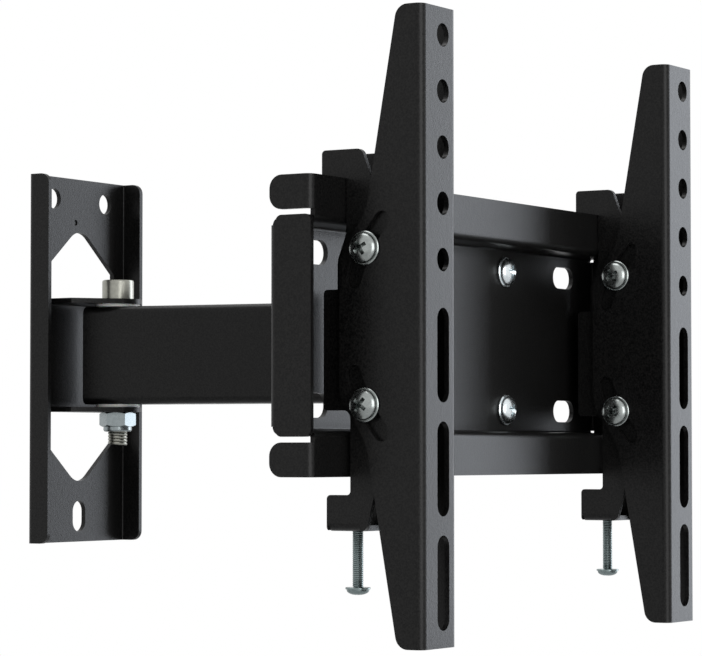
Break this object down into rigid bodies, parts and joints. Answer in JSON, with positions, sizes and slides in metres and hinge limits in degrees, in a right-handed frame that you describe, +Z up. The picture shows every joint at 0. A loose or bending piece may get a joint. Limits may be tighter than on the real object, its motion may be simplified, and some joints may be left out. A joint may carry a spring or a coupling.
{
  "type": "tv mount",
  "caption": "Swivelling wall bracket for a television: a lugged wall plate, a steel arm on two hinges, a hat-section crossplate, and tilting slotted plates on lockable hooks.",
  "frame": {"origin": "centre of the wall plate's back face", "axes": "+Y into the wall, the television side faces -Y, +Z up, +X to the right seen from the television side"},
  "size_m": [0.2554, 0.2146, 0.23],
  "materials": {
    "black_coat": "satin fine-texture black powder coat",
    "bright_zinc": "bright zinc plate",
    "blue_zinc": "blue passivated zinc plate",
    "pivot_zinc": "dull zinc plate",
    "white_nylon": "natural white nylon"
  },
  "bodies": {
    "wall": {"wall_plate": "black_coat", "wall_pivot_bolt": "pivot_zinc", "wall_pivot_nut": "blue_zinc"},
    "arm": {"arm_tube": "black_coat", "wall_sleeve": "bright_zinc", "head_sleeve": "bright_zinc", "wall_washer_top": "white_nylon", "wall_washer_bottom": "white_nylon", "head_washer_top": "white_nylon", "head_washer_bottom": "white_nylon"},
    "head": {"head_clevis": "black_coat", "head_pivot_bolt": "pivot_zinc", "head_pivot_nut": "blue_zinc", "crossplate": "black_coat", "crossplate_screws": "bright_zinc", "crossplate_nuts": "blue_zinc"},
    "left_hook": {"hook_bracket_left": "black_coat", "tilt_bolts_left": "bright_zinc", "tilt_washers_left": "bright_zinc", "tilt_nuts_left": "blue_zinc", "lock_nut_left": "bright_zinc"},
    "left_plate": {"tv_plate_left": "black_coat"},
    "left_lock": {"lock_screw_left": "bright_zinc"},
    "right_hook": {"hook_bracket_right": "black_coat", "tilt_bolts_right": "bright_zinc", "tilt_washers_right": "bright_zinc", "tilt_nuts_right": "blue_zinc", "lock_nut_right": "bright_zinc"},
    "right_plate": {"tv_plate_right": "black_coat"},
    "right_lock": {"lock_screw_right": "bright_zinc"}
  },
  "joints": [
    {"name": "wall_swing", "type": "hinge", "parent": "wall", "child": "arm", "pos_m": [0, -0.0215, 0.0015], "axis": [0, 0, 1], "range_deg": [-100.3, 79.7]},
    {"name": "head_swivel", "type": "hinge", "parent": "arm", "child": "head", "pos_m": [0.02187, -0.14183, 0.0015], "axis": [0, 0, -1], "range_deg": [-95.3, 74.7]},
    {"name": "left_rail_slide", "type": "slide", "parent": "head", "child": "left_hook", "axis": [1, 0, 0], "range_m": [-0.018, 0.05]},
    {"name": "left_tilt", "type": "hinge", "parent": "left_hook", "child": "left_plate", "pos_m": [-0.06993, -0.24163, 0.007], "axis": [1, 0, 0], "range_deg": [-12, 12]},
    {"name": "left_lock_travel", "type": "slide", "parent": "left_hook", "child": "left_lock", "axis": [0, 0, -1], "range_m": [0, 0.012]},
    {"name": "right_rail_slide", "type": "slide", "parent": "head", "child": "right_hook", "axis": [1, 0, 0], "range_m": [-0.05, 0.002]},
    {"name": "right_tilt", "type": "hinge", "parent": "right_hook", "child": "right_plate", "pos_m": [0.13007, -0.24163, 0.007], "axis": [1, 0, 0], "range_deg": [-12, 12]},
    {"name": "right_lock_travel", "type": "slide", "parent": "right_hook", "child": "right_lock", "axis": [0, 0, -1], "range_m": [0, 0.012]}
  ]
}
